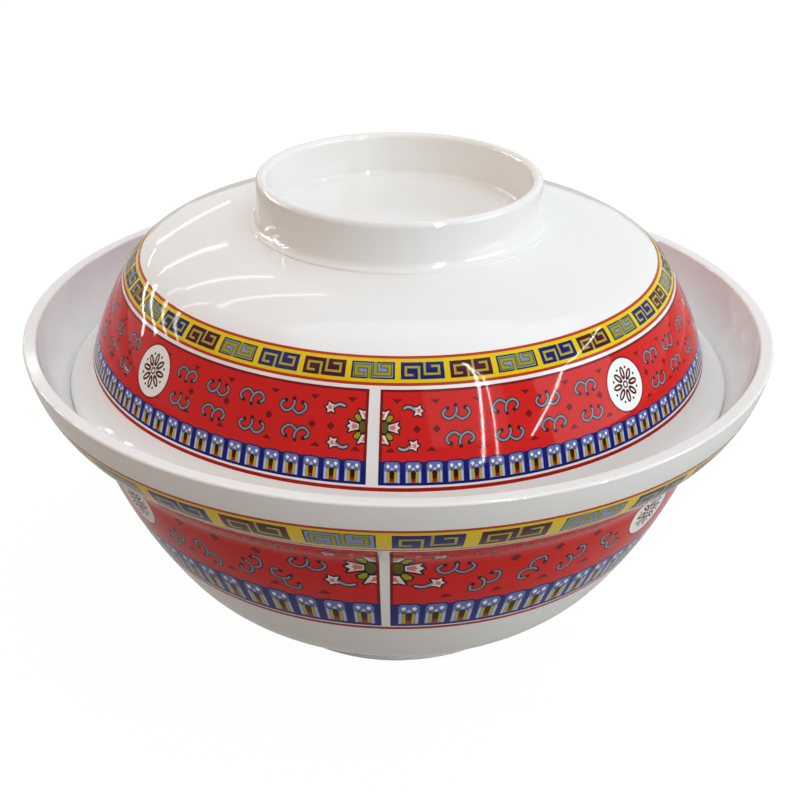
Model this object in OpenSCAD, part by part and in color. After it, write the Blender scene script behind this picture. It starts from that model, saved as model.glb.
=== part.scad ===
// Lidded rice bowl moulded in melamine: a flared bowl on a low foot, a domed lid with a ring handle
// that rests inside the collar of the bowl, and printed foils pressed flush into both mouldings.
// Lengths are in millimetres. The table is z = 0, the axis of the bowl is Z and the front is -Y.

/* [Bowl] */
// Radius over the rim
rim_r = 89; // [84:0.5:96]
// Height of the rim above the table
bowl_h = 77.1; // [72:0.1:86]
// Wall of the bowl
bowl_wall = 3; // [2.4:0.1:3.6]
// Rounding of the two edges of the flat rim
rim_round = 0.5; // [0.3:0.1:0.8]
// Outer bend radius of the flared collar
collar_bend = 27; // [25:0.5:30]
// Height of the centre of the collar bend above the rim
collar_rise = 3.7; // [3:0.1:5]
// Drop from the rim to the corner where collar and belly would meet
crease_drop = 19.7; // [18:0.1:21]
// Slope where the collar turns into the skirt under it
skirt_turn = 43; // [41:0.5:45]
// Outer bend radius of the skirt
skirt_bend = 140; // [120:1:145]
// Outer radius of the hollow bend between the skirt and the belly
crease_bend = 11; // [9:0.5:13]
// Outer bend radius of the belly
belly_bend = 120; // [105:1:135]
// Outer bend radius where the belly turns into the floor
base_bend = 39; // [35:0.5:42]
// Radius of the flat floor
floor_r = 27; // [24:0.5:30]
// Height of the underside of the floor above the table
foot_h = 4.5; // [3.5:0.1:6]
// Outer radius of the foot ring
foot_r = 37; // [34:0.5:40]
// Width of the foot ring
foot_w = 4; // [3:0.1:5]
// Rounding of the lower edges of the foot ring
foot_round = 0.9; // [0.5:0.1:1.2]
// Fillet between the foot ring and the belly
foot_fillet = 1.5; // [0.8:0.1:2]

/* [Lid] */
// Distance of the lid's edge inside the rim
lid_inset = 9.8; // [8.5:0.1:11]
// Wall of the lid
lid_wall = 2.8; // [2.2:0.1:3.4]
// Gap between the lid's edge and the collar it rests on
seat_gap = 0.02; // [0.01:0.01:0.3]
// Bend radius of the flange
flange_bend = 6.2; // [5.4:0.1:7]
// Slope of the flange at its edge
flange_tip = 14; // [10:0.5:18]
// Lean of the lid's wall where it meets the flange
lid_lean = 14.8; // [13:0.1:17]
// Bend radius of the lid's wall
side_bend = 72; // [65:0.5:80]
// Bend radius of the lid's shoulder
shoulder_bend = 16; // [14.5:0.1:17.5]
// Bend radius of the lid's crown
crown_bend = 82; // [75:0.5:90]
// Radius of the flat middle of the crown
crown_flat_r = 29; // [26:0.5:32]
// Height of the crown above the lid's edge
crown_h = 36.9; // [34:0.1:40]

/* [Ring handle] */
// Outer radius of the ring at its top
ring_r = 33.6; // [31:0.1:36]
// Height of the ring above the crown
ring_h = 10.8; // [9:0.1:13]
// Wall of the ring
ring_wall = 2.5; // [2.2:0.1:3.2]
// Draft of the ring's sides
ring_draft = 1.2; // [0.5:0.1:2]
// Cove round the outside of the ring's base
ring_cove = 1.7; // [1.3:0.1:2.4]
// Height of the step under that cove
ring_step = 0.1; // [0.05:0.01:0.3]
// Fillet round the inside of the ring's base
cup_fillet = 1.5; // [1:0.1:2]

/* [Printed foils] */
// Thickness of every foil
foil_t = 0.2; // [0.15:0.01:0.3]
// Gap between a foil and its pocket
foil_gap = 0.02; // [0.01:0.005:0.04]
// Width of the fret foil on the bowl
bowl_fret_w = 9.4; // [8.4:0.1:10.4]
// Distance of that foil above the skirt
bowl_fret_up = 0.1; // [0.05:0.05:0.6]
// Distance of the panel foils under the top of the skirt
bowl_panel_down = 0.8; // [0.6:0.1:1.6]
// Reach of the panel foils down the belly, below the hollow bend
bowl_panel_fall = 22.4; // [19:0.1:23]
// Width of the border line on the bowl
bowl_line_w = 1.1; // [0.6:0.1:1.4]
// Distance of that line under the panel foils
bowl_line_down = 0.5; // [0.4:0.1:1.2]
// Angle of the bare bar between two panels on the bowl
bowl_bar = 1.65; // [1.2:0.05:2.2]
// Turn of the bowl's front bar from the front, to the right
bowl_bar_turn = -1.8; // [-10:0.1:10]
// Width of the fret foil on the lid
lid_fret_w = 6.2; // [5.5:0.1:6.8]
// Distance of that foil above the foot of the shoulder
lid_fret_up = 0.05; // [0.05:0.05:0.5]
// Width of the panel foils on the lid
lid_panel_w = 19; // [17:0.1:19.2]
// Distance of the panel foils under the shoulder
lid_panel_down = 0.7; // [0.4:0.05:0.8]
// Width of the border line on the lid
lid_line_w = 0.75; // [0.4:0.05:0.8]
// Distance of that line under the panel foils
lid_line_down = 0.5; // [0.3:0.05:0.6]
// Angle of the bare bar between two panels on the lid
lid_bar = 1.93; // [1.4:0.05:2.4]
// Turn of the lid's front bar from the front, to the right
lid_bar_turn = -3.9; // [-10:0.1:10]

/* [Hidden] */
$fn = 96;

function dir(a) = [cos(a), sin(a)];
function ang(v) = atan2(v[1], v[0]);
// Degrees taken up by an arc length on a given radius.
function arc_deg(s, r) = s / r * 180 / PI;
// The point at r1 from c1 and r2 from c2, on the right of the way from c1 to c2.
function meet(c1, r1, c2, r2) =
    let (v = c2 - c1, l = norm(v), x = (l * l + r1 * r1 - r2 * r2) / (2 * l), u = v / l)
    c1 + x * u - sqrt(r1 * r1 - x * x) * [-u[1], u[0]];

// Bowl: centres of the bends, all in the plane of the profile (radius, height).
rim_outer_c = [rim_r - rim_round, bowl_h - rim_round];
collar_c = [rim_outer_c[0] - sqrt(pow(collar_bend - rim_round, 2) - pow(collar_rise + rim_round, 2)),
    bowl_h + collar_rise];
rim_inner_c = [collar_c[0] + sqrt(pow(collar_bend - bowl_wall + rim_round, 2) - pow(collar_rise + rim_round, 2)),
    bowl_h - rim_round];
crease = [collar_c[0] + sqrt(pow(collar_bend, 2) - pow(crease_drop + collar_rise, 2)), bowl_h - crease_drop];
base_c = [floor_r, foot_h + base_bend];
belly_c = meet(crease, belly_bend, base_c, belly_bend - base_bend);
a_skirt = -skirt_turn;
skirt_c = collar_c - (skirt_bend - collar_bend) * dir(a_skirt);
crease_c = meet(belly_c, belly_bend + crease_bend, skirt_c, skirt_bend + crease_bend);
a_crease = ang(crease_c - skirt_c);
a_belly = ang(crease_c - belly_c);
a_base = ang(base_c - belly_c);

// Lid: its edge rests on the inside of the collar, and everything above follows from there.
lw = lid_wall / 2;
tip_r = rim_r - lid_inset - lw;
tip = [tip_r, collar_c[1] - sqrt(pow(collar_bend - bowl_wall - lw - seat_gap, 2) - pow(tip_r - collar_c[0], 2))];
flange_c = tip + (flange_bend + lw) * dir(90 - flange_tip);
side_c = flange_c + (flange_bend + side_bend) * dir(180 + lid_lean);
crown_z = tip[1] + crown_h;
crown_c = [crown_flat_r, crown_z - crown_bend];
shoulder_c = meet(crown_c, crown_bend - shoulder_bend, side_c, side_bend - shoulder_bend);
a_crown = ang(shoulder_c - crown_c);
a_shoulder = ang(shoulder_c - side_c);
a_side = ang(flange_c - side_c);

// Foils: where each one starts and ends on its bend, in degrees.
bowl_panel_a1 = a_skirt - arc_deg(bowl_panel_down, skirt_bend);
bowl_panel_a0 = a_belly - arc_deg(bowl_panel_fall, belly_bend);
bowl_fret_a0 = a_skirt + arc_deg(bowl_fret_up, collar_bend);
bowl_fret_a1 = bowl_fret_a0 + arc_deg(bowl_fret_w, collar_bend);
bowl_line_a1 = bowl_panel_a0 - arc_deg(bowl_line_down, belly_bend);
bowl_line_a0 = bowl_line_a1 - arc_deg(bowl_line_w, belly_bend);
lid_fret_a0 = a_shoulder + arc_deg(lid_fret_up, shoulder_bend);
lid_fret_a1 = lid_fret_a0 + arc_deg(lid_fret_w, shoulder_bend);
lid_panel_a1 = a_shoulder - arc_deg(lid_panel_down, side_bend);
lid_panel_a0 = lid_panel_a1 - arc_deg(lid_panel_w, side_bend);
lid_line_a1 = lid_panel_a0 - arc_deg(lid_line_down, side_bend);
lid_line_a0 = lid_line_a1 - arc_deg(lid_line_w, side_bend);

melamine = [0.93, 0.92, 0.87];
red_print = [0.75, 0.1, 0.08];
yellow_print = [0.88, 0.75, 0.05];

// Puts a shape at p. The way there is split into whole, thousandth and remaining parts, so that
// no digit is lost and neighbouring bends meet truly tangent.
module at(p) {
    whole = [for (x = p) floor(x)];
    part = [for (x = p) floor((x - floor(x)) * 1000) / 1000];
    translate(whole) translate(part) translate(p - whole - part) children();
}

// The half of the plane on the left of the line through p in the direction a.
module half(p, a) {
    at(p) polygon([-300 * dir(a), 300 * dir(a), 300 * (dir(a) + dir(a + 90)), 300 * (dir(a + 90) - dir(a))]);
}

// The whole ring of wall between two radii round c, from which a bend is cut.
module ring(c, r_in, r_out) {
    at(c) difference() {
        circle(r_out);
        circle(r_in);
    }
}

// A key across the place where two bends meet, so that they stay one piece. It lies between two
// depths under the point p of the outside, where the wall faces the direction a.
module key(p, a, depth_0, depth_1) {
    at(p) rotate(a) translate([-depth_1, -0.1]) square([depth_1 - depth_0, 0.2]);
}

// A short strip of such a ring between two angles.
module strip(c, r_in, r_out, a0, a1) {
    intersection() {
        ring(c, r_in, r_out);
        at(c) polygon(concat([[0, 0]], [for (k = [0:4]) 2 * r_out * dir(a0 + (a1 - a0) * k / 4)]));
    }
}

// A foil lies flush with the outside of its bend; its pocket is larger by the gap.
module foil_profile(c, r, a0, a1) {
    strip(c, r - foil_t, r, a0, a1);
}

module pocket_profile(c, r, a0, a1) {
    g = arc_deg(foil_gap, r);
    strip(c, r - foil_t - foil_gap, r + 1, a0 - g, a1 + g);
}

// One of the four quarters between the bare bars, made wider by extra degrees at each end.
module quarter(k, turn, bar, extra) {
    rotate_extrude(angle = 90 - bar + 2 * extra, start = turn - 90 + 90 * k + bar / 2 - extra)
        children();
}

// The fillet between the foot ring and the belly.
module foot_fillet_profile() {
    c = [foot_r + foot_fillet,
        base_c[1] - sqrt(pow(base_bend + foot_fillet, 2) - pow(foot_r + foot_fillet - floor_r, 2))];
    u = (base_c - c) / norm(base_c - c);
    at(c) difference() {
        polygon([[-foot_fillet - 1, 0], [0, 0], (foot_fillet + 1) * u, [-foot_fillet - 1, foot_h + bowl_wall - c[1]]]);
        circle(foot_fillet);
    }
}

module foot_profile() {
    x0 = foot_r - foot_w;
    top = foot_h + bowl_wall - 1;
    translate([x0 + foot_round, 0]) square([foot_w - 2 * foot_round, top]);
    translate([x0, foot_round]) square([foot_w, top - foot_round]);
    translate([x0 + foot_round, foot_round]) circle(foot_round);
    translate([foot_r - foot_round, foot_round]) circle(foot_round);
    foot_fillet_profile();
}

// The places where the bowl's bends meet; each one is cut by the same line on both sides.
module past_collar() { half(skirt_c + skirt_bend * dir(a_skirt), a_skirt); }
module past_skirt() { half(skirt_c + skirt_bend * dir(a_crease), a_crease); }
module past_belly() { half(belly_c + belly_bend * dir(a_belly), a_belly); }
module past_base() { half(belly_c + belly_bend * dir(a_base), a_base); }

// One flat of the rounding of a rim edge, seen from its centre c in the direction a.
module rim_flat(c, a) {
    at(c) rotate(a) translate([rim_round, -bowl_wall]) square([bowl_wall, 2 * bowl_wall]);
}

module bowl_wall_profile() {
    difference() {
        intersection() {
            ring(collar_c, collar_bend - bowl_wall, collar_bend);
            past_collar();
        }
        half([0, bowl_h], 0);
        for (a = [10:20:70]) rim_flat(rim_outer_c, a);
        for (a = [110:20:150]) rim_flat(rim_inner_c, a);
    }
    difference() {
        intersection() {
            ring(skirt_c, skirt_bend - bowl_wall, skirt_bend);
            past_skirt();
        }
        past_collar();
    }
    difference() {
        intersection() {
            ring(crease_c, crease_bend, crease_bend + bowl_wall);
            past_belly();
        }
        past_skirt();
    }
    difference() {
        intersection() {
            ring(belly_c, belly_bend - bowl_wall, belly_bend);
            past_base();
        }
        past_belly();
    }
    difference() {
        intersection() {
            ring(base_c, base_bend - bowl_wall, base_bend);
            translate([floor_r, 0]) square(base_bend);
        }
        past_base();
    }
    translate([0, foot_h]) square([floor_r, bowl_wall]);
    key(skirt_c + skirt_bend * dir(a_skirt), a_skirt, 0.3 * bowl_wall, 0.7 * bowl_wall);
    key(skirt_c + skirt_bend * dir(a_crease), a_crease, 0.3 * bowl_wall, 0.7 * bowl_wall);
    key(belly_c + belly_bend * dir(a_belly), a_belly, 0.3 * bowl_wall, 0.7 * bowl_wall);
    key(belly_c + belly_bend * dir(a_base), a_base, 0.3 * bowl_wall, 0.7 * bowl_wall);
    key([floor_r, foot_h], -90, 0.3 * bowl_wall, 0.7 * bowl_wall);
}

// The panel foils of the bowl run from the skirt through the hollow bend down the belly.
// The strip starts at depth in the wall and ends at rise outside it; extra lengthens both ends.
module bowl_panel_profile(depth, rise, extra) {
    difference() {
        intersection() {
            ring(skirt_c, skirt_bend - depth, skirt_bend + rise);
            past_skirt();
        }
        half(skirt_c, bowl_panel_a1 + arc_deg(extra, skirt_bend));
    }
    difference() {
        intersection() {
            ring(crease_c, crease_bend - rise, crease_bend + depth);
            past_belly();
        }
        past_skirt();
    }
    difference() {
        intersection() {
            ring(belly_c, belly_bend - depth, belly_bend + rise);
            half(belly_c, bowl_panel_a0 - arc_deg(extra, belly_bend));
        }
        past_belly();
    }
    top = rise > 0 ? -rise - foil_t : 0.5 * depth;
    key(skirt_c + skirt_bend * dir(a_crease), a_crease, top, 0.85 * depth);
    key(belly_c + belly_bend * dir(a_belly), a_belly, top, 0.85 * depth);
}

module bowl_profile() {
    difference() {
        union() {
            bowl_wall_profile();
            foot_profile();
        }
        pocket_profile(collar_c, collar_bend, bowl_fret_a0, bowl_fret_a1);
        pocket_profile(belly_c, belly_bend, bowl_line_a0, bowl_line_a1);
    }
}

module bowl_shell() {
    color(melamine)
    difference() {
        rotate_extrude() bowl_profile();
        for (k = [0:3])
            quarter(k, bowl_bar_turn, bowl_bar, arc_deg(foil_gap, crease[0]))
                bowl_panel_profile(foil_t + foil_gap, 1, foil_gap);
    }
}

module bowl_fret_band() {
    color(yellow_print)
        rotate_extrude() foil_profile(collar_c, collar_bend, bowl_fret_a0, bowl_fret_a1);
}

module bowl_panel(k) {
    color(red_print)
        quarter(k, bowl_bar_turn, bowl_bar, 0)
            bowl_panel_profile(foil_t, 0, 0);
}

module bowl_panel_front_right() { bowl_panel(0); }
module bowl_panel_back_right() { bowl_panel(1); }
module bowl_panel_back_left() { bowl_panel(2); }
module bowl_panel_front_left() { bowl_panel(3); }

module bowl_border_line() {
    color(red_print)
        rotate_extrude() foil_profile(belly_c, belly_bend, bowl_line_a0, bowl_line_a1);
}

// The ring handle: a drafted wall with a full round on top, a stepped cove outside and a fillet
// inside. Everything is measured from the centre of the round. The cove and the fillet dip a little
// into the wall, and the round is a little wider than it, so that they cross it cleanly.
module ring_profile() {
    dip = 0.01;
    h = ring_wall / 2;
    z_crown = h - ring_h;
    z_low = z_crown - lw;
    z_cove = z_crown + ring_step + ring_cove;
    z_cup = z_crown + cup_fillet - dip;
    cove_c = [h / cos(ring_draft) - z_cove * tan(ring_draft) + ring_cove / cos(ring_draft) - dip, z_cove];
    cup_c = [-h / cos(ring_draft) + z_cup * tan(ring_draft) - cup_fillet / cos(ring_draft) + dip, z_cup];
    cove_t = cove_c - ring_cove * dir(ring_draft);
    cup_t = cup_c - cup_fillet * dir(180 - ring_draft);
    half_low = h / cos(ring_draft) - z_low * tan(ring_draft);
    at([ring_r - h, crown_z + ring_h - h]) {
        circle(h + dip / 2);
        polygon([h * dir(ring_draft), h * dir(180 - ring_draft), [-half_low, z_low], [half_low, z_low]]);
        difference() {
            polygon([cove_c, cove_t, cove_t - [1, 0], [cove_t[0] - 1, z_low], [cove_c[0], z_low]]);
            translate(cove_c) circle(ring_cove);
        }
        difference() {
            polygon([cup_t + [1, 0], cup_t, cup_c, [cup_c[0], z_low], [cup_t[0] + 1, z_low]]);
            translate(cup_c) circle(cup_fillet);
        }
    }
}

// The places where the lid's bends meet, cut in the same way.
module past_tip() { half(tip, 270 - flange_tip); }
module past_side() { half(side_c + side_bend * dir(a_side), a_side); }
module past_shoulder() { half(side_c + side_bend * dir(a_shoulder), a_shoulder); }
module past_crown() { half(crown_c + crown_bend * dir(a_crown), a_crown); }

module lid_wall_profile() {
    intersection() {
        at(tip) circle(lw);
        past_tip();
    }
    difference() {
        ring(flange_c, flange_bend, flange_bend + lid_wall);
        past_side();
        past_tip();
    }
    difference() {
        intersection() {
            ring(side_c, side_bend - lid_wall, side_bend);
            past_side();
        }
        past_shoulder();
    }
    difference() {
        intersection() {
            ring(shoulder_c, shoulder_bend - lid_wall, shoulder_bend);
            past_shoulder();
        }
        past_crown();
    }
    intersection() {
        ring(crown_c, crown_bend - lid_wall, crown_bend);
        past_crown();
        at([crown_flat_r, crown_z - crown_bend]) square(crown_bend + 1);
    }
    at([0, crown_z - lid_wall]) square([crown_flat_r, lid_wall]);
}

module lid_profile() {
    difference() {
        union() {
            lid_wall_profile();
            ring_profile();
        }
        pocket_profile(shoulder_c, shoulder_bend, lid_fret_a0, lid_fret_a1);
        pocket_profile(side_c, side_bend, lid_line_a0, lid_line_a1);
    }
}

module lid_shell() {
    color(melamine)
    difference() {
        rotate_extrude() lid_profile();
        for (k = [0:3])
            quarter(k, lid_bar_turn, lid_bar, arc_deg(foil_gap, tip_r))
                pocket_profile(side_c, side_bend, lid_panel_a0, lid_panel_a1);
    }
}

module lid_fret_band() {
    color(yellow_print)
        rotate_extrude() foil_profile(shoulder_c, shoulder_bend, lid_fret_a0, lid_fret_a1);
}

module lid_panel(k) {
    color(red_print)
        quarter(k, lid_bar_turn, lid_bar, 0)
            foil_profile(side_c, side_bend, lid_panel_a0, lid_panel_a1);
}

module lid_panel_front_right() { lid_panel(0); }
module lid_panel_back_right() { lid_panel(1); }
module lid_panel_back_left() { lid_panel(2); }
module lid_panel_front_left() { lid_panel(3); }

module lid_border_line() {
    color(red_print)
        rotate_extrude() foil_profile(side_c, side_bend, lid_line_a0, lid_line_a1);
}

bowl_shell();
bowl_fret_band();
bowl_panel_front_right();
bowl_panel_back_right();
bowl_panel_back_left();
bowl_panel_front_left();
bowl_border_line();
lid_shell();
lid_fret_band();
lid_panel_front_right();
lid_panel_back_right();
lid_panel_back_left();
lid_panel_front_left();
lid_border_line();
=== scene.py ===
import math

import bpy
from mathutils import Matrix, Vector
from mathutils.geometry import delaunay_2d_cdt


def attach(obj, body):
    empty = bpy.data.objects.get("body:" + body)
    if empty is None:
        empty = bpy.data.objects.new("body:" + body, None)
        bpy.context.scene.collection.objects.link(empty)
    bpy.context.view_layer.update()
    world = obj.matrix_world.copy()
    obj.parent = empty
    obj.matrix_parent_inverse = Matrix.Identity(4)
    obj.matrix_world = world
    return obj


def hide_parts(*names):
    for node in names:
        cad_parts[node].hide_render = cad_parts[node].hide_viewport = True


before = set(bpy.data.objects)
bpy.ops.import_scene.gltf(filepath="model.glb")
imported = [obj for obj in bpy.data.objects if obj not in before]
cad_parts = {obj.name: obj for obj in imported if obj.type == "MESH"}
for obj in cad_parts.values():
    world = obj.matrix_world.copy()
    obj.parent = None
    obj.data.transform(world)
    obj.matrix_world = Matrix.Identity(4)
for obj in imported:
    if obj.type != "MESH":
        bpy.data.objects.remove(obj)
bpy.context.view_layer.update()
MM = 0.001


# Profile: the same sizes and the same way of finding the centres of the bends as in the solids.
def toward(a):
    """The unit vector at a degrees."""
    return Vector((math.cos(math.radians(a)), math.sin(math.radians(a))))


def bearing(v):
    """The angle of a vector, in degrees."""
    return math.degrees(math.atan2(v.y, v.x))


def arc_deg(s, r):
    """Degrees taken up by an arc length on a given radius."""
    return math.degrees(s / r)


def meet(c1, r1, c2, r2):
    """The point at r1 from c1 and r2 from c2, on the right of the way from c1 to c2."""
    way = c2 - c1
    length = way.length
    x = (length * length + r1 * r1 - r2 * r2) / (2 * length)
    u = way / length
    return c1 + x * u - math.sqrt(r1 * r1 - x * x) * Vector((-u.y, u.x))


# Bowl.
rim_r = 89
bowl_h = 77.1
bowl_wall = 3
rim_round = 0.5
collar_bend = 27
collar_rise = 3.7
crease_drop = 19.7
skirt_turn = 43
skirt_bend = 140
crease_bend = 11
belly_bend = 120
base_bend = 39
floor_r = 27
foot_h = 4.5
# Lid.
lid_inset = 9.8
lid_wall = 2.8
seat_gap = 0.02
flange_bend = 6.2
flange_tip = 14
lid_lean = 14.8
side_bend = 72
shoulder_bend = 16
crown_bend = 82
crown_flat_r = 29
crown_h = 36.9
# Foils.
foil_t = 0.2
bowl_fret_w = 9.4
bowl_fret_up = 0.1
bowl_panel_down = 0.8
bowl_panel_fall = 22.4
bowl_bar = 1.65
bowl_bar_turn = -1.8
lid_fret_w = 6.2
lid_fret_up = 0.05
lid_panel_w = 19
lid_panel_down = 0.7
lid_bar = 1.93
lid_bar_turn = -3.9

collar_x = math.sqrt((collar_bend - rim_round) ** 2 - (collar_rise + rim_round) ** 2)
collar_c = Vector((rim_r - rim_round - collar_x, bowl_h + collar_rise))
crease_x = math.sqrt(collar_bend**2 - (crease_drop + collar_rise) ** 2)
crease = Vector((collar_c.x + crease_x, bowl_h - crease_drop))
base_c = Vector((floor_r, foot_h + base_bend))
belly_c = meet(crease, belly_bend, base_c, belly_bend - base_bend)
a_skirt = -skirt_turn
skirt_c = collar_c - (skirt_bend - collar_bend) * toward(a_skirt)
crease_c = meet(belly_c, belly_bend + crease_bend, skirt_c, skirt_bend + crease_bend)
a_crease = bearing(crease_c - skirt_c)
a_belly = bearing(crease_c - belly_c)

half_lid = lid_wall / 2
tip_r = rim_r - lid_inset - half_lid
seat_r = collar_bend - bowl_wall - half_lid - seat_gap
tip = Vector((tip_r, collar_c.y - math.sqrt(seat_r**2 - (tip_r - collar_c.x) ** 2)))
flange_c = tip + (flange_bend + half_lid) * toward(90 - flange_tip)
side_c = flange_c + (flange_bend + side_bend) * toward(180 + lid_lean)
crown_c = Vector((crown_flat_r, tip.y + crown_h - crown_bend))
shoulder_c = meet(crown_c, crown_bend - shoulder_bend, side_c, side_bend - shoulder_bend)
a_shoulder = bearing(shoulder_c - side_c)


class Run:
    """A strip of the outside of a profile, from its top edge down.

    Each bend is (centre, radius, first angle, last angle), with a negative radius where it is hollow.
    """

    def __init__(self, *bends):
        self.bends = bends
        self.lengths = [abs(r) * math.radians(abs(a1 - a0)) for _, r, a0, a1 in bends]
        self.length = sum(self.lengths)

    def at(self, s):
        """The point and the outward direction at the distance s from the top."""
        last = len(self.bends) - 1
        for i, (centre, radius, a0, a1) in enumerate(self.bends):
            if s <= self.lengths[i] or i == last:
                out = toward(a0 + (a1 - a0) * s / self.lengths[i])
                return centre + radius * out, out
            s -= self.lengths[i]


a_fret = a_skirt + arc_deg(bowl_fret_up, collar_bend)
bowl_fret_run = Run((collar_c, collar_bend, a_fret + arc_deg(bowl_fret_w, collar_bend), a_fret))
bowl_panel_run = Run(
    (skirt_c, skirt_bend, a_skirt - arc_deg(bowl_panel_down, skirt_bend), a_crease),
    (crease_c, -crease_bend, a_crease, a_belly),
    (belly_c, belly_bend, a_belly, a_belly - arc_deg(bowl_panel_fall, belly_bend)),
)
a_lid_fret = a_shoulder + arc_deg(lid_fret_up, shoulder_bend)
lid_fret_run = Run(
    (shoulder_c, shoulder_bend, a_lid_fret + arc_deg(lid_fret_w, shoulder_bend), a_lid_fret)
)
a_lid_panel = a_shoulder - arc_deg(lid_panel_down, side_bend)
lid_panel_run = Run((side_c, side_bend, a_lid_panel, a_lid_panel - arc_deg(lid_panel_w, side_bend)))


# Materials.
def linear(rgb):
    """An sRGB colour of 0 to 255 as the linear colour that a shader takes."""
    out = []
    for c in rgb:
        c = c / 255
        out.append(c / 12.92 if c <= 0.04045 else ((c + 0.055) / 1.055) ** 2.4)
    return (*out, 1)


def node(tree, kind, **inputs):
    """A new shader node with these values on its inputs."""
    n = tree.nodes.new(kind)
    for name, value in inputs.items():
        n.inputs[name.replace("_", " ")].default_value = value
    return n


def glossy(name, rgb, shine, rough, spread, ripple):
    """A glossy material: its roughness is a little uneven and its skin has a faint ripple."""
    mat = bpy.data.materials.new(name)
    mat.use_nodes = True
    tree = mat.node_tree
    shader = tree.nodes["Principled BSDF"]
    shader.inputs["Base Color"].default_value = linear(rgb)
    shader.inputs["IOR"].default_value = 1.5
    shader.inputs["Specular IOR Level"].default_value = shine
    place = tree.nodes.new("ShaderNodeTexCoord")
    smear = node(tree, "ShaderNodeTexNoise", Scale=60, Detail=4, Roughness=0.6)
    levels = node(tree, "ShaderNodeMapRange", To_Min=rough - spread, To_Max=rough + spread)
    swell = node(tree, "ShaderNodeTexNoise", Scale=260, Detail=1)
    bump = node(tree, "ShaderNodeBump", Strength=ripple, Distance=0.0002)
    tree.links.new(place.outputs["Object"], smear.inputs["Vector"])
    tree.links.new(smear.outputs["Fac"], levels.inputs["Value"])
    tree.links.new(levels.outputs["Result"], shader.inputs["Roughness"])
    tree.links.new(place.outputs["Object"], swell.inputs["Vector"])
    tree.links.new(swell.outputs["Fac"], bump.inputs["Height"])
    tree.links.new(bump.outputs["Normal"], shader.inputs["Normal"])
    return mat


INKS = {
    "yellow": (232, 202, 8),
    "red": (212, 28, 22),
    "dark_red": (128, 10, 10),
    "mark_red": (116, 12, 8),
    "line_red": (190, 54, 18),
    "navy": (22, 28, 108),
    "maroon": (76, 10, 44),
    "periwinkle": (130, 146, 196),
    "slate": (104, 118, 172),
    "pale_blue": (188, 194, 226),
    "olive": (164, 154, 16),
    "dark_olive": (92, 92, 20),
    "petal": (240, 218, 212),
    "pink": (208, 122, 114),
    "scroll": (132, 148, 164),
    "stem": (164, 170, 178),
    "outline": (32, 26, 34),
    "white": (246, 246, 242),
    "ochre": (192, 172, 20),
    "key_gold": (176, 164, 36),
    "brown": (86, 16, 8),
    "rust": (158, 44, 16),
}
LINE_RED = (168, 24, 20)
INK_FINISH = {"shine": 0.12, "rough": 0.05, "spread": 0.015, "ripple": 0.02}
MELAMINE_FINISH = {"shine": 0.5, "rough": 0.06, "spread": 0.02, "ripple": 0.03}
inks = {name: glossy("ink_" + name, rgb, **INK_FINISH) for name, rgb in INKS.items()}


# Drawings.
def smooth(points, steps=3):
    """A path through the points with no corners, in steps from each point to the next."""
    pts = [Vector(p) for p in points]
    pts = [2 * pts[0] - pts[1]] + pts + [2 * pts[-1] - pts[-2]]
    path = []
    for i in range(1, len(pts) - 2):
        a, b, c, d = pts[i - 1 : i + 3]
        for k in range(steps):
            t = k / steps
            square = 2 * a - 5 * b + 4 * c - d
            cube = 3 * b - a - 3 * c + d
            path.append(0.5 * (2 * b + (c - a) * t + square * t * t + cube * t**3))
    return path + [pts[-2]]


class Drawing:
    """Coloured shapes on a flat sheet, later ones over earlier ones. x is to the right and y is up."""

    def __init__(self, x0, y0, x1, y1, ground):
        self.box = (x0, y0, x1, y1)
        self.shapes = []
        self.rect(ground, x0, y0, x1, y1)

    def add(self, ink, points):
        """A filled shape, with its corners put in anticlockwise order."""
        area = sum(a[0] * b[1] - b[0] * a[1] for a, b in zip(points, points[1:] + points[:1]))
        self.shapes.append((ink, points if area > 0 else points[::-1]))

    def rect(self, ink, x0, y0, x1, y1):
        self.add(ink, [(x0, y0), (x1, y0), (x1, y1), (x0, y1)])

    def disc(self, ink, x, y, rx, ry=None, n=16, tilt=0):
        ry = rx if ry is None else ry
        u, v = toward(tilt), toward(tilt + 90)
        ring = [toward(360 * i / n) for i in range(n)]
        self.add(ink, [tuple(Vector((x, y)) + p.x * rx * u + p.y * ry * v) for p in ring])

    def stroke(self, ink, path, width):
        """A ribbon along a smooth path, with round ends."""
        last = len(path) - 1
        sides = []
        for i, p in enumerate(path):
            d = (path[min(i + 1, last)] - path[max(i - 1, 0)]).normalized()
            left = Vector((-d.y, d.x)) * width / 2
            sides.append((tuple(p + left), tuple(p - left)))
        for (l0, r0), (l1, r1) in zip(sides, sides[1:]):
            self.add(ink, [r0, r1, l1, l0])
        for p in (path[0], path[-1]):
            self.disc(ink, p.x, p.y, width / 2, n=8)

    def outlined(self, ink, edge, points, line):
        """A shape with a line round it that is as wide on each side of its edge."""
        for a, b in zip(points, points[1:] + points[:1]):
            a, b = Vector(a), Vector(b)
            d = (b - a).normalized()
            left = Vector((-d.y, d.x)) * line
            self.add(edge, [tuple(a - left), tuple(b - left), tuple(b + left), tuple(a + left)])
            self.disc(edge, a.x, a.y, line, n=8)
        self.add(ink, points)


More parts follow.
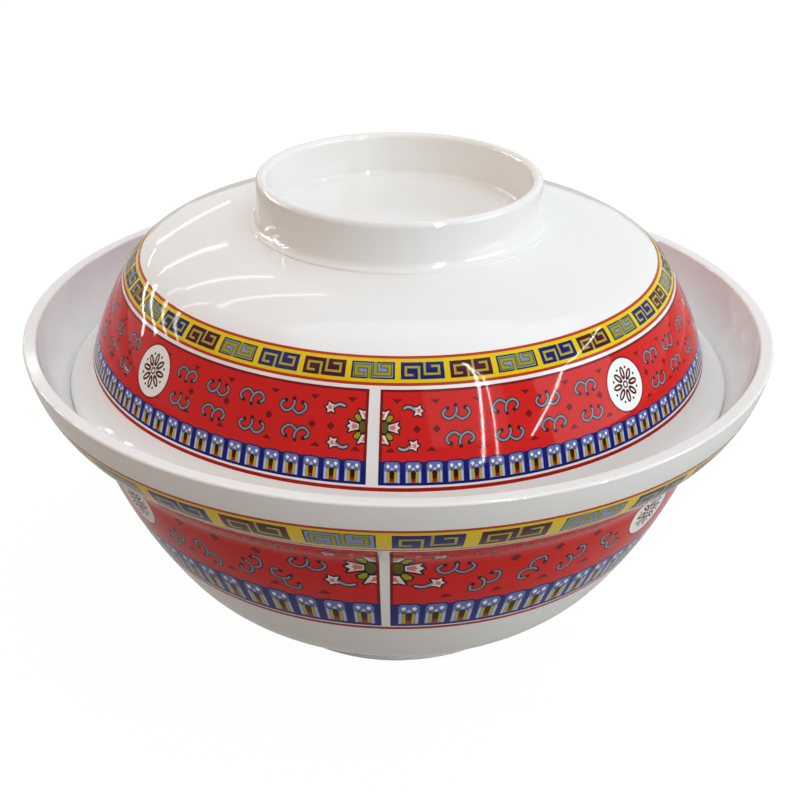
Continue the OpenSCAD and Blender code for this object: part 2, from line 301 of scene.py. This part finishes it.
def lay(name, drawing, run, scale, turn, warp, body, replaced):
    """Presses a drawing on a run as a closed foil that stands for a CAD node.

    scale is millimetres of the drawing per degree round the axis, turn the direction of x = 0 from the
    front to the right, and warp how much the spacing differs between front and back.
    """
    x0, y0, x1, y1 = drawing.box
    whole = x1 - x0 > 359.9 * scale
    # No edge is longer than this, so that the foil follows the bends.
    wide = 2 * scale
    tall = 1.5
    flat = []
    faces = []
    for _, points in drawing.shapes:
        kept = [Vector((min(max(x, x0), x1), min(max(y, y0), y1))) for x, y in points]
        first = len(flat)
        for a, b in zip(kept, kept[1:] + kept[:1]):
            n = max(1, math.ceil(max(abs(b.x - a.x) / wide, abs(b.y - a.y) / tall) - 1e-6))
            flat += [a.lerp(b, i / n) for i in range(n)]
        faces.append(list(range(first, len(flat))))
    columns = math.ceil((x1 - x0) / wide)
    rows = math.ceil((y1 - y0) / tall)
    for i in range(columns + 1):
        for k in range(rows + 1):
            flat.append(Vector((x0 + (x1 - x0) * i / columns, y0 + (y1 - y0) * k / rows)))
    points, _, tris, _, _, parents = delaunay_2d_cdt(flat, [], faces, 1, 1e-5, True)
    # Every corner on its bend, with the two ends of a whole band joined.
    verts = []
    outs = []
    index = []
    merged = {}
    for p in points:
        key = (round(p.y, 4), round(p.x, 4))
        if whole and p.x > x1 - 1e-4:
            key = (round(p.y, 4), round(x0, 4))
        if key not in merged:
            spot, out = run.at(y1 - p.y)
            phi = math.radians(p.x / scale)
            az = turn + math.degrees(phi + warp * math.sin(phi))
            side = toward(az - 90)
            merged[key] = len(verts)
            verts.append(Vector((spot.x * side.x, spot.x * side.y, spot.y)) * MM)
            outs.append(Vector((out.x * side.x, out.x * side.y, out.y)))
        index.append(merged[key])
    n = len(verts)
    # The printed face, each triangle in the ink that lies on top.
    ink_names = []
    polys = []
    slots = []
    normals = []
    open_edges = {}
    for tri, above in zip(tris, parents):
        corners = [index[i] for i in tri]
        if len(set(corners)) < 3 or not above:
            continue
        ink = drawing.shapes[max(above)][0]
        if ink not in ink_names:
            ink_names.append(ink)
        for a, b in zip(corners, corners[1:] + corners[:1]):
            if (b, a) in open_edges:
                del open_edges[(b, a)]
            else:
                open_edges[(a, b)] = ink_names.index(ink)
        polys.append(corners)
        slots.append(ink_names.index(ink))
        normals += [outs[i] for i in corners]
    # The back of the foil, and the narrow wall round its edge.
    for tri in [p[::-1] for p in polys]:
        polys.append([i + n for i in tri])
        slots.append(0)
        normals += [-outs[i] for i in tri]
    verts += [v - o * foil_t * MM for v, o in zip(verts, outs)]
    for (a, b), slot_index in open_edges.items():
        wall = [b, a, a + n, b + n]
        flat_way = (verts[a] - verts[b]).cross(outs[a]).normalized()
        polys.append(wall)
        slots.append(slot_index)
        normals += [flat_way] * 4
    mesh = bpy.data.meshes.new(name)
    mesh.from_pydata(verts, [], polys)
    for ink in ink_names:
        mesh.materials.append(inks[ink])
    mesh.polygons.foreach_set("material_index", slots)
    mesh.polygons.foreach_set("use_smooth", [True] * len(polys))
    mesh.update()
    mesh.normals_split_custom_set(normals)
    piece = bpy.data.objects.new(name, mesh)
    bpy.context.scene.collection.objects.link(piece)
    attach(piece, body)
    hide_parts(replaced)


# The fret: blocks of two interlocked keys, in three colours that repeat.
KEYS = [
    [(0.416, 0.0), (0.416, 0.705), (0.115, 0.705), (0.115, 0.25), (0.257, 0.25)],
    [(0.549, 1.0), (0.549, 0.295), (0.876, 0.295), (0.876, 0.75), (0.726, 0.75)],
]
FRET_INKS = ["navy", "maroon", "periwinkle"]
# The dark rim of a light block, at its sides and at its top and bottom.
RIM_X = 0.35
RIM_Y = 0.3


def fret(scale, height, count, first, block, low, high, edge, line):
    """A yellow band all round, with blocks between low and high and red border lines of width edge.

    first and block are degrees, and line is the width of a key as a share of a block's width.
    """
    d = Drawing(-180 * scale, 0, 180 * scale, height, "yellow")
    d.rect("line_red", -180 * scale, 0, 180 * scale, edge)
    d.rect("line_red", -180 * scale, height - edge, 180 * scale, height)
    period = 360 / count
    for i in range(count):
        left = first + period * i
        if left > 180 - block:
            left -= 360
        ink = FRET_INKS[i % 3]
        x0 = left * scale
        wide = block * scale
        tall = high - low
        if ink == "periwinkle":
            d.rect("outline", x0, low, x0 + wide, high)
            d.rect(ink, x0 + RIM_X, low + RIM_Y, x0 + wide - RIM_X, high - RIM_Y)
            strokes = [("dark_olive", 2.1 * line), ("olive", 1.2 * line)]
        else:
            d.rect(ink, x0, low, x0 + wide, high)
            strokes = [("key_gold", line)]
        for key_ink, stroke in strokes:
            half = stroke * wide / 2
            for key in KEYS:
                path = [(x0 + u * wide, low + v * tall) for u, v in key]
                for (ax, ay), (bx, by) in zip(path, path[1:]):
                    low_x, high_x = sorted((ax, bx))
                    low_y, high_y = sorted((ay, by))
                    low_y = max(low_y - half, low)
                    high_y = min(high_y + half, high)
                    d.rect(key_ink, low_x - half, low_y, high_x + half, high_y)
    return d


LID_FRET_SCALE = 1.08
BOWL_FRET_SCALE = 1.46
LID_FRET_WARP = 0.037
BOWL_FRET_WARP = -0.0375
lid_fret = fret(
    LID_FRET_SCALE,
    lid_fret_w,
    count=42,
    first=0.5,
    block=7.57,
    low=1.3,
    high=4.85,
    edge=0.6,
    line=0.056,
)
bowl_fret = fret(
    BOWL_FRET_SCALE,
    bowl_fret_w,
    count=30,
    first=-0.62,
    block=9.87,
    low=1.75,
    high=7.75,
    edge=0.75,
    line=0.042,
)
for owner, drawing, run, scale, warp in (
    ("lid", lid_fret, lid_fret_run, LID_FRET_SCALE, LID_FRET_WARP),
    ("bowl", bowl_fret, bowl_fret_run, BOWL_FRET_SCALE, BOWL_FRET_WARP),
):
    lay(owner + "_fret_print", drawing, run, scale, 0, warp, owner, owner + "_fret_band")


# The panels: half flowers at the bars, buds, scrolls, a roundel, small marks and a row of lappets.
SCROLL_LONG = [
    (-0.32, 0.14),
    (-0.46, 0.07),
    (-0.51, -0.04),
    (-0.43, -0.16),
    (-0.275, -0.22),
    (-0.10, -0.14),
    (0.01, 0.05),
    (-0.02, 0.24),
]
SCROLL_SHORT = [
    (0.0, -0.14),
    (0.17, -0.245),
    (0.35, -0.20),
    (0.49, -0.04),
    (0.44, 0.09),
    (0.325, 0.147),
]
TOP_PETAL = [(0, 3.3), (1.1, 3.05), (2.05, 3.4), (1.6, 2.45), (1.25, 1.6), (0, 1.5)]
SIDE_PETAL = [
    (1.9, 0.5),
    (2.9, 0.75),
    (4.1, 1.15),
    (3.65, 0.5),
    (4.35, 0),
    (3.65, -0.5),
    (4.05, -1.15),
    (2.9, -0.75),
    (1.9, -0.5),
]
LEAF = [(1.5, 1.1), (2.1, 1.15), (2.85, 1.8), (2.65, 2.35), (2.0, 2.4), (1.55, 1.8)]
BUD_HEAD = [
    (-0.9, 0.55),
    (-0.2, 0.6),
    (0.5, 1.05),
    (0.55, 0.35),
    (1.15, -0.05),
    (0.6, -0.45),
    (0.65, -1.15),
    (-0.1, -0.75),
    (-0.9, -1.0),
    (-0.55, -0.3),
]
BUD_STEM = [(-0.6, 0.05), (-1.5, 0.6), (-2.3, 0.72), (-3.0, 0.45)]
TRIANGLE = [(-1.1, 0.45), (0, -0.5), (1.1, 0.45)]
LOZENGE = [(-0.9, 0), (0, -0.85), (0.9, 0), (0, 0.85)]


def placed(points, x, y, size, tilt=0, flip=1, rise=1):
    """Points of a motif, mirrored by flip and rise, turned, sized and moved to (x, y)."""
    u, v = toward(tilt), toward(tilt + 90)
    return [tuple(Vector((x, y)) + size * (px * flip * u + py * rise * v)) for px, py in points]


def scroll(d, x, y, size, tilt=0, flip=1):
    """A double scroll: two grey strokes in a dark outline, with dark ends."""
    paths = [smooth(placed(p, x, y, size, tilt, flip)) for p in (SCROLL_LONG, SCROLL_SHORT)]
    for path in paths:
        d.stroke("outline", path, 0.15 * size)
    for path in paths:
        d.stroke("scroll", path, 0.07 * size)
    for end in (paths[0][0], paths[0][-1], paths[1][-1]):
        d.disc("outline", end.x, end.y, 0.07 * size, n=8)


def bud(d, x, y, size, flip, rise):
    """A small pale bud on a curved stem."""
    line = 0.32 * size
    stem = smooth(placed(BUD_STEM, x, y, size, 0, flip, rise))
    head = placed(BUD_HEAD, x, y, size, 0, flip, rise)
    d.stroke("outline", stem, 1.05 * size)
    d.outlined("petal", "outline", head, line)
    d.stroke("stem", stem, 0.46 * size)
    d.add("pink", placed(BUD_HEAD, x + 0.1 * flip * size, y, 0.5 * size, 0, flip, rise))


def half_flower(d, x, y, size, flip):
    """Half of a flower at a bar: three petals, two leaves between them and a green heart."""
    line = 0.34 * size
    d.disc("outline", x + 1.1 * flip * size, y, 1.0 * size, 1.5 * size)
    for rise in (1, -1):
        d.outlined("petal", "outline", placed(TOP_PETAL, x, y, size, 0, flip, rise), line)
        d.add("pink", placed(TOP_PETAL, x, y + 0.9 * size * rise, 0.6 * size, 0, flip, rise))
    d.outlined("petal", "outline", placed(SIDE_PETAL, x, y, size, 0, flip), line)
    d.add("pink", placed(SIDE_PETAL, x + 0.95 * flip * size, y, 0.6 * size, 0, flip))
    for rise in (1, -1):
        d.outlined("olive", "outline", placed(LEAF, x, y, size, 0, flip, rise), 0.8 * line)
    d.disc("dark_olive", x + 1.05 * flip * size, y, 0.7 * size, 1.15 * size)


def triangle(d, x, y, size, rise):
    """A small dark red triangle, with its tip down where rise is 1."""
    d.add("mark_red", placed(TRIANGLE, x, y, size, 0, 1, rise))


def lozenge(d, x, y, size):
    """A small dark red lozenge."""
    d.add("mark_red", placed(LOZENGE, x, y, size))


def roundel(d, x, y, r):
    """A white disc with a red rim and a plain rosette of eight petals."""
    d.disc("dark_red", x, y, r + 0.4, n=48)
    d.disc("white", x, y, r, n=48)
    for i in range(8):
        spot = Vector((x, y)) + 0.44 * r * toward(45 * i)
        d.disc("brown", *spot, 0.26 * r, 0.13 * r, n=14, tilt=45 * i)
        d.disc("white", *(spot + 0.02 * r * toward(45 * i)), 0.15 * r, 0.035 * r, n=10, tilt=45 * i)
        dot = Vector((x, y)) + 0.66 * r * toward(45 * i + 22.5)
        d.disc("brown", *dot, 0.055 * r, n=8)
    d.disc("brown", x, y, 0.15 * r, n=14)
    d.disc("white", x, y, 0.08 * r, n=10)


# Parts of a lappet: its ground, its tongue, and the pale edge and the dark tick at one side.
LAPPET_GROUND = [(-2.0, -0.3), (2.0, -0.3), (1.3, 0.2), (-1.3, 0.2)]
LAPPET_TONGUE = [(-1.6, -4.25), (1.6, -4.25), (1.6, -0.6), (1.2, -0.1), (-1.2, -0.1), (-1.6, -0.6)]
LAPPET_EDGE = [(1.05, -4.25), (1.5, -4.25), (1.5, -2.2), (1.2, -1.7), (1.05, -2.2)]
LAPPET_TICK = [(0.5, -2.1), (1.0, -2.25), (1.05, -1.85), (0.55, -1.7)]
# The narrow shapes in the middle of a lappet, later ones over earlier ones.
LAPPET_MIDDLE = [
    ("ochre", [(-0.95, -4.15), (0.95, -4.15), (0.95, -2.0), (-0.95, -2.0)]),
    ("rust", [(-0.5, -4.15), (0.5, -4.15), (0.4, -3.1), (-0.4, -3.1)]),
    ("brown", [(-0.45, -3.5), (0.45, -3.5), (0.55, -2.0), (-0.55, -2.0)]),
    ("outline", [(-0.25, -3.3), (0.25, -3.3), (0.35, -1.8), (-0.35, -1.8)]),
]


def lappets(d, side, scale, y1, first, count, wide, tall):
    """Arched tongues on a navy ground under y1, the outer ones first degrees from the bars.

    wide and tall stretch a tongue that is drawn for the lid.
    """

    def shape(x, ink, points):
        d.add(ink, [(x + wide * px, y1 + tall * py) for px, py in points])

    x0, y0, x1, _ = d.box
    d.rect("navy", x0, y0, x1, y1)
    start = (first if side > 0 else first - 90) * scale
    pitch = (90 - 2 * first) / (count - 1) * scale
    for i in range(count):
        x = start + pitch * i
        shape(x, "navy", LAPPET_GROUND)
        shape(x, "slate", LAPPET_TONGUE)
        for flip in (-1, 1):
            d.disc("white", x + flip * 0.8 * wide, y1 - 0.95 * tall, 0.34 * wide, 0.36 * tall, n=10)
            shape(x, "pale_blue", [(flip * px, py) for px, py in LAPPET_EDGE])
            shape(x, "outline", [(flip * px, py) for px, py in LAPPET_TICK])
        d.disc("pale_blue", x, y1 - 1.45 * tall, 0.32 * wide, 0.3 * tall, n=10)
        for ink, points in LAPPET_MIDDLE:
            shape(x, ink, points)


def panel_ground(scale, bar, height, edge):
    """The red field of a quarter, with a dark line along its top."""
    x0 = bar / 2 * scale
    x1 = (90 - bar / 2) * scale
    d = Drawing(x0, -height, x1, 0, "dark_red")
    d.rect("red", x0, -height, x1, -edge)
    return d


def end_lines(d, edge):
    """The dark lines along both ends of a quarter, over the flowers that grow from them."""
    x0, y0, x1, y1 = d.box
    d.rect("dark_red", x0, y0, x0 + edge, y1)
    d.rect("dark_red", x1 - edge, y0, x1, y1)


def mirrored(d):
    """The same sheet for the quarter on the other side of its bar."""
    x0, y0, x1, y1 = d.box
    m = Drawing(-x1, y0, -x0, y1, "red")
    m.shapes = []
    for ink, points in d.shapes:
        m.add(ink, [(-x, y) for x, y in points])
    return m


LID_SCALE = 1.274
BOWL_SCALE = 1.283

# Sizes of the motifs, and how far under the top of a panel they are.
LID_ROUNDEL_R = 5.6
LID_ROUNDEL_DOWN = 7.25
LID_SCROLL_SIZE = 5.8
LID_SCROLL_ROWS = (4.7, 10.1)
LID_LAPPETS_DOWN = 14.2
BOWL_MARK_SIZE = 1.5
BOWL_ROUNDEL_R = 6.4
BOWL_ROUNDEL_DOWN = 13.3
BOWL_SCROLL_SIZE = 7.6
BOWL_LAPPETS_DOWN = 24.2

# Small marks of a panel: degrees from its bar and millimetres under its top.
LID_TRIANGLES_UP = [(2.8, 11.9), (9.4, 11.7), (17.8, 11.8), (26.7, 11.9), (34.4, 11.6), (42.2, 11.7)]
LID_TRIANGLES_UP += [(53, 11.9), (60.9, 11.5), (68.4, 11.5), (80.6, 11.7), (87.2, 11.9)]
LID_TRIANGLES_DOWN = [(3.8, 2.3), (10.3, 2.4), (17.6, 2.5), (26.4, 2.5), (34.4, 2.5), (42.2, 2.5)]
LID_TRIANGLES_DOWN += [(53, 2.5), (60.9, 2.6), (68.1, 2.6), (79.7, 2.4), (86.2, 2.3)]
LID_LOZENGES = [(7.1, 7.8), (10.3, 7.8), (18, 7.4), (26.4, 6.9), (34.2, 7.5), (41, 7.1)]
LID_LOZENGES += [(54, 7.2), (60.4, 7.5), (68.4, 7.3), (79.7, 7.8), (82.9, 7.8)]
BOWL_TRIANGLES_UP = [(10.2, 21.2), (19, 21), (27.4, 20.2), (35.8, 19.4), (62, 20.8), (70, 21)]
BOWL_TRIANGLES_UP += [(79.8, 21.2)]
BOWL_TRIANGLES_DOWN = [(8, 2.3), (19.5, 2.6), (27.5, 2.6), (35.5, 2.6), (62, 2.6), (70, 2.6), (82, 2.3)]
BOWL_LOZENGES = [(21, 11), (28.8, 10.8), (36.3, 10.6), (61, 10.8), (69, 11)]

# What differs between the panel right of a bar (1) and the one left of it (-1), in degrees from the bar:
# the roundel, the lid's two rows of scrolls, and the bowl's first lappet with the number of lappets.
LID_ROUNDEL = {1: 47.6, -1: 44.9}
BOWL_ROUNDEL = {1: 50.3, -1: 49.3}
LID_SCROLLS_ABOVE = {
    1: (13.8, 22.4, 30.4, 38.4, 56.8, 64.4, 73),
    -1: (13.8, 21.7, 28.7, 36.2, 53.8, 61.6, 70.4),
}
LID_SCROLLS_BELOW = {
    1: (14.1, 22.7, 30.7, 38.7, 57.1, 64.7, 73.3),
    -1: (13, 20.8, 28.6, 36.3, 54, 62, 71),
}
BOWL_LAPPETS = {1: (4.1, 18), -1: (3.85, 17)}

# The bowl's scrolls: degrees from the bar, millimetres under the top, tilt, and -1 where mirrored.
BOWL_SCROLLS = {
    1: [
        (11.3, 11.6, 0, 1),
        (16.4, 17.3, 40, 1),
        (24.8, 16.1, -130, -1),
        (32.3, 16.4, 45, 1),
        (40.9, 16, -45, 1),
    ],
    -1: [
        (12.3, 11.9, 0, 1),
        (16.6, 18.6, -45, 1),
        (23, 16.4, 50, 1),
        (31.9, 18.2, 135, -1),
        (39.5, 17.7, 50, 1),
    ],
}
BOWL_SCROLLS_BOTH = [
    (16.6, 5.4, 180, 1),
    (24, 5.4, 0, 1),
    (32, 5.4, 180, 1),
    (40, 5.4, 0, 1),
    (61, 5.4, 0, 1),
    (69, 5.4, 180, 1),
    (62, 16.4, 45, 1),
    (70, 16.4, -130, -1),
    (76.5, 11.4, 0, 1),
]


def marks(d, scale, size, up, down, lozenges):
    """The small dark red marks of a panel."""
    for x, y in up:
        triangle(d, x * scale, -y, size, -1)
    for x, y in down:
        triangle(d, x * scale, -y, size, 1)
    for x, y in lozenges:
        lozenge(d, x * scale, -y, size)


def flowers(d, scale, bar, size, bud_size, middle, above, below):
    """Half a flower and two buds at both ends of a panel.

    middle is the flower's distance under the top. above and below place the buds: degrees from the
    end of the panel and millimetres under its top.
    """
    for end, flip in ((bar / 2, 1), (90 - bar / 2, -1)):
        half_flower(d, end * scale, -middle, size, flip)
        for (along, down), rise in ((above, 1), (below, -1)):
            bud(d, (end + along * flip) * scale, -down, bud_size, flip, rise)


def lid_panel(side):
    """The lid's panel right of a bar (side 1) or left of it (side -1).

    The left one is drawn as a right one and mirrored before its scrolls and lappets are added.
    """
    k = LID_SCALE
    d = panel_ground(k, lid_bar, lid_panel_w, edge=0.5)
    marks(d, k, 1, LID_TRIANGLES_UP, LID_TRIANGLES_DOWN, LID_LOZENGES)
    flowers(d, k, lid_bar, size=1, bud_size=1, middle=7.5, above=(6.4, 4.1), below=(5.6, 11.1))
    end_lines(d, edge=0.6)
    roundel(d, LID_ROUNDEL[side] * k, -LID_ROUNDEL_DOWN, LID_ROUNDEL_R)
    d = d if side > 0 else mirrored(d)
    # Neighbours are turned over, and the turns start again past the roundel.
    row_above, row_below = LID_SCROLL_ROWS
    for i, (above, below) in enumerate(zip(LID_SCROLLS_ABOVE[side], LID_SCROLLS_BELOW[side])):
        up = (i + (i > 3)) % 2
        scroll(d, side * above * k, -row_above, LID_SCROLL_SIZE, tilt=180 * up)
        scroll(d, side * below * k, -row_below, LID_SCROLL_SIZE, tilt=180 * (1 - up))
    lappets(d, side, k, -LID_LAPPETS_DOWN, first=3.1, count=26, wide=1, tall=1)
    return d


def bowl_panel(side):
    """The bowl's panel right of a bar (side 1) or left of it (side -1), made in the same way."""
    k = BOWL_SCALE
    d = panel_ground(k, bowl_bar, bowl_panel_run.length, edge=0.6)
    marks(d, k, BOWL_MARK_SIZE, BOWL_TRIANGLES_UP, BOWL_TRIANGLES_DOWN, BOWL_LOZENGES)
    flowers(d, k, bowl_bar, size=1.6, bud_size=1.5, middle=11.3, above=(7.6, 5.8), below=(7.6, 16.6))
    end_lines(d, edge=0.65)
    roundel(d, BOWL_ROUNDEL[side] * k, -BOWL_ROUNDEL_DOWN, BOWL_ROUNDEL_R)
    d = d if side > 0 else mirrored(d)
    for x, y, tilt, flip in BOWL_SCROLLS[side] + BOWL_SCROLLS_BOTH:
        scroll(d, side * x * k, -y, BOWL_SCROLL_SIZE, tilt, flip)
    first, count = BOWL_LAPPETS[side]
    lappets(d, side, k, -BOWL_LAPPETS_DOWN, first, count, wide=1.5, tall=2.02)
    return d


for owner, panel, run, scale, turn in (
    ("lid", lid_panel, lid_panel_run, LID_SCALE, lid_bar_turn),
    ("bowl", bowl_panel, bowl_panel_run, BOWL_SCALE, bowl_bar_turn),
):
    sheets = {1: panel(1), -1: panel(-1)}
    for place, side, half_turn in (
        ("front_right", 1, 0),
        ("back_right", -1, 180),
        ("back_left", 1, 180),
        ("front_left", -1, 0),
    ):
        cad = owner + "_panel_" + place
        lay(cad + "_print", sheets[side], run, scale, turn + half_turn, 0, owner, cad)


# The two mouldings and the border lines keep their solids and get their finish here.
def melamine(name):
    """Ivory melamine, a little creamier in patches."""
    mat = glossy(name, (240, 239, 236), **MELAMINE_FINISH)
    tree = mat.node_tree
    shader = tree.nodes["Principled BSDF"]
    place = tree.nodes.new("ShaderNodeTexCoord")
    cloud = node(tree, "ShaderNodeTexNoise", Scale=9, Detail=3, Roughness=0.5)
    tint = tree.nodes.new("ShaderNodeValToRGB")
    tint.color_ramp.elements[0].position = 0.35
    tint.color_ramp.elements[0].color = linear((241, 240, 238))
    tint.color_ramp.elements[1].position = 0.7
    tint.color_ramp.elements[1].color = linear((239, 237, 231))
    tree.links.new(place.outputs["Object"], cloud.inputs["Vector"])
    tree.links.new(cloud.outputs["Fac"], tint.inputs["Fac"])
    tree.links.new(tint.outputs["Color"], shader.inputs["Base Color"])
    return mat


body_mat = melamine("melamine")
line_mat = glossy("print_line", LINE_RED, **INK_FINISH)
for name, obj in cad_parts.items():
    mat = body_mat if name.endswith("shell") else line_mat if name.endswith("line") else None
    if mat:
        obj.data.materials.clear()
        obj.data.materials.append(mat)


# Stage: a pale floor that keeps the shadow, a white surround and soft lamps.
def seen_rays(tree, direct, reflected):
    """A socket with the share for what the camera sees by itself, and for reflections and glass."""
    ray = tree.nodes.new("ShaderNodeLightPath")
    seen = None
    for kind, share in (
        ("Is Camera Ray", direct),
        ("Is Glossy Ray", reflected),
        ("Is Transmission Ray", reflected),
    ):
        part = node(tree, "ShaderNodeMath")
        part.operation = "MULTIPLY"
        part.inputs[1].default_value = share
        tree.links.new(ray.outputs[kind], part.inputs[0])
        if seen:
            either = node(tree, "ShaderNodeMath")
            either.operation = "MAXIMUM"
            tree.links.new(seen, either.inputs[0])
            tree.links.new(part.outputs[0], either.inputs[1])
            part = either
        seen = part.outputs[0]
    return seen


def plain_floor():
    """A pale floor. Its own glow makes it white to the camera, apart from a faint shadow."""
    bpy.ops.mesh.primitive_plane_add(size=6, location=(0, 0, -0.0002))
    floor = bpy.context.object
    floor.name = "floor"
    mat = bpy.data.materials.new("floor")
    mat.use_nodes = True
    tree = mat.node_tree
    shader = tree.nodes["Principled BSDF"]
    shader.inputs["Base Color"].default_value = (0.42, 0.405, 0.38, 1)
    shader.inputs["Roughness"].default_value = 0.9
    shader.inputs["Specular IOR Level"].default_value = 0
    glow = node(tree, "ShaderNodeEmission", Color=(1, 1, 1, 1), Strength=1.08)
    mix = tree.nodes.new("ShaderNodeMixShader")
    tree.links.new(seen_rays(tree, direct=0.9, reflected=0.3), mix.inputs["Fac"])
    tree.links.new(shader.outputs[0], mix.inputs[1])
    tree.links.new(glow.outputs[0], mix.inputs[2])
    tree.links.new(mix.outputs[0], tree.nodes["Material Output"].inputs["Surface"])
    floor.data.materials.append(mat)


def white_world():
    """White to the camera. Its soft light is cool from the upper right and dim and warm from the left."""
    world = bpy.data.worlds.new("surround")
    bpy.context.scene.world = world
    world.use_nodes = True
    tree = world.node_tree
    soft = tree.nodes["Background"]
    way = tree.nodes.new("ShaderNodeTexCoord")
    lean = tree.nodes.new("ShaderNodeVectorMath")
    lean.operation = "DOT_PRODUCT"
    lean.inputs[1].default_value = (0.75, -0.1, 0.65)
    spread = node(tree, "ShaderNodeMapRange", From_Min=-0.7, From_Max=0.9)
    tint = tree.nodes.new("ShaderNodeValToRGB")
    tint.color_ramp.elements[0].color = (0.15, 0.09, 0.05, 1)
    tint.color_ramp.elements[1].color = (0.44, 0.47, 0.5, 1)
    tree.links.new(way.outputs["Generated"], lean.inputs[0])
    tree.links.new(lean.outputs["Value"], spread.inputs["Value"])
    tree.links.new(spread.outputs["Result"], tint.inputs["Fac"])
    tree.links.new(tint.outputs["Color"], soft.inputs["Color"])
    white = node(tree, "ShaderNodeBackground", Color=(1, 1, 1, 1), Strength=1)
    mix = tree.nodes.new("ShaderNodeMixShader")
    tree.links.new(seen_rays(tree, direct=1, reflected=1), mix.inputs["Fac"])
    tree.links.new(soft.outputs[0], mix.inputs[1])
    tree.links.new(white.outputs[0], mix.inputs[2])
    tree.links.new(mix.outputs[0], tree.nodes["World Output"].inputs["Surface"])


# The lamps face this point of the bowl.
LAMP_TARGET = Vector((0, 0, 0.08))


def lamp(name, spot, size, size_y, power, colour=(1, 1, 1)):
    """A soft lamp that faces the bowl."""
    data = bpy.data.lights.new(name, "AREA")
    data.shape = "RECTANGLE"
    data.size = size
    data.size_y = size_y
    data.energy = power
    data.color = colour
    obj = bpy.data.objects.new(name, data)
    bpy.context.scene.collection.objects.link(obj)
    obj.location = spot
    obj.rotation_euler = (LAMP_TARGET - Vector(spot)).to_track_quat("-Z", "Y").to_euler()
    return obj


def tube(name, spot, roll, thick, length, power):
    """A thin tube, turned by roll, that only shows as a streak in the gloss."""
    obj = lamp(name, spot, thick, length, power)
    obj.rotation_euler = (obj.matrix_basis @ Matrix.Rotation(math.radians(roll), 4, "Z")).to_euler()
    obj.visible_diffuse = False


# The left of the dome, which shows the far tubes, and how far they are from it, in metres.
DOME_LEFT = Vector((-0.045, -0.03, 0.097))
TUBE_FAR = 2


def far_tube(name, start, end, thick, glow):
    """A tube between two directions from the left of the dome, for a streak in the gloss."""
    ends = []
    for azimuth, elevation in (start, end):
        a = math.radians(azimuth)
        e = math.radians(elevation)
        way = Vector((math.sin(a) * math.cos(e), math.cos(a) * math.cos(e), math.sin(e)))
        ends.append(way * TUBE_FAR)
    along = ends[1] - ends[0]
    middle = (ends[0] + ends[1]) / 2
    obj = lamp(name, DOME_LEFT + middle, thick, along.length, glow * math.pi * thick * along.length)
    y = along.normalized()
    z = middle.normalized()
    obj.rotation_euler = Matrix((y.cross(z), y, z)).transposed().to_euler()
    obj.visible_diffuse = False


# Ends of the tubes in the gloss of the lid's left side, first as the dome and then as the print
# shows them: azimuth from the back, positive to the right, and elevation.
DOME_TUBES = (
    ((-34, 16), (-12, 10)),
    ((-35, 24), (-15, 25)),
    ((-46, 30), (-14, 37)),
    ((-57, 35), (-9, 45)),
)
PRINT_TUBES = (
    ((-67, 4), (-41, 19)),
    ((-73, 9), (-42, 24)),
    ((-78, 13), (-51, 30)),
    ((-85, 16), (-60, 34)),
)

plain_floor()
white_world()
lamp("top", (0.12, 0.0, 0.95), 1.0, 1.0, power=3.65, colour=(0.82, 0.92, 1))
lamp("front", (0.4, -0.85, 0.55), 0.5, 0.5, power=1.4, colour=(0.94, 0.975, 1))
lamp("key", (0.8, -0.3, 0.25), 0.5, 0.5, power=2.7, colour=(0.92, 0.97, 1))
lamp("fill", (-0.6, -0.3, 0.7), 0.5, 0.5, power=1.2, colour=(1, 0.52, 0.22))
back_left = lamp("back_left", (-0.6, 0.5, 0.35), 0.5, 0.5, power=1.3, colour=(1, 0.96, 0.92))
back_right = lamp("back_right", (0.55, 0.6, 0.35), 0.5, 0.5, power=0.7)
back_left.visible_glossy = False
back_right.visible_glossy = False
tube("tube_right", (0.475, -0.775, 0.6), roll=-8, thick=0.012, length=1.3, power=6.0)
tube("tube_right_2", (0.518, -0.745, 0.6), roll=-4, thick=0.006, length=1.3, power=3.0)
tube("tube_slant", (0.845, -0.26, 0.55), roll=-60, thick=0.008, length=1.2, power=4.0)
for n, (start, end) in enumerate(DOME_TUBES):
    far_tube("dome_tube_%d" % n, start, end, thick=0.025, glow=4)
for n, (start, end) in enumerate(PRINT_TUBES):
    far_tube("print_tube_%d" % n, start, end, thick=0.05, glow=24)

# Camera: close to the bowl, a little above it, rolled by half a degree.
CAM_TARGET = Vector((0, 0, 0.078))
CAM_ELEVATION = 24.02
CAM_DISTANCE = 0.3382
CAM_ROLL = 0.5
camera = bpy.data.cameras.new("camera")
camera.sensor_width = 36
camera.lens = 62.44
camera.shift_x = 0.0019
camera.shift_y = -0.1178
camera.clip_start = 0.01
camera_obj = bpy.data.objects.new("camera", camera)
bpy.context.scene.collection.objects.link(camera_obj)
away = Vector((0, -math.cos(math.radians(CAM_ELEVATION)), math.sin(math.radians(CAM_ELEVATION))))
turned = (-away).to_track_quat("-Z", "Y").to_matrix().to_4x4()
moved = Matrix.Translation(CAM_TARGET + CAM_DISTANCE * away)
camera_obj.matrix_world = moved @ turned @ Matrix.Rotation(math.radians(CAM_ROLL), 4, "Z")
bpy.context.scene.camera = camera_obj
bpy.context.scene.view_settings.view_transform = "Standard"
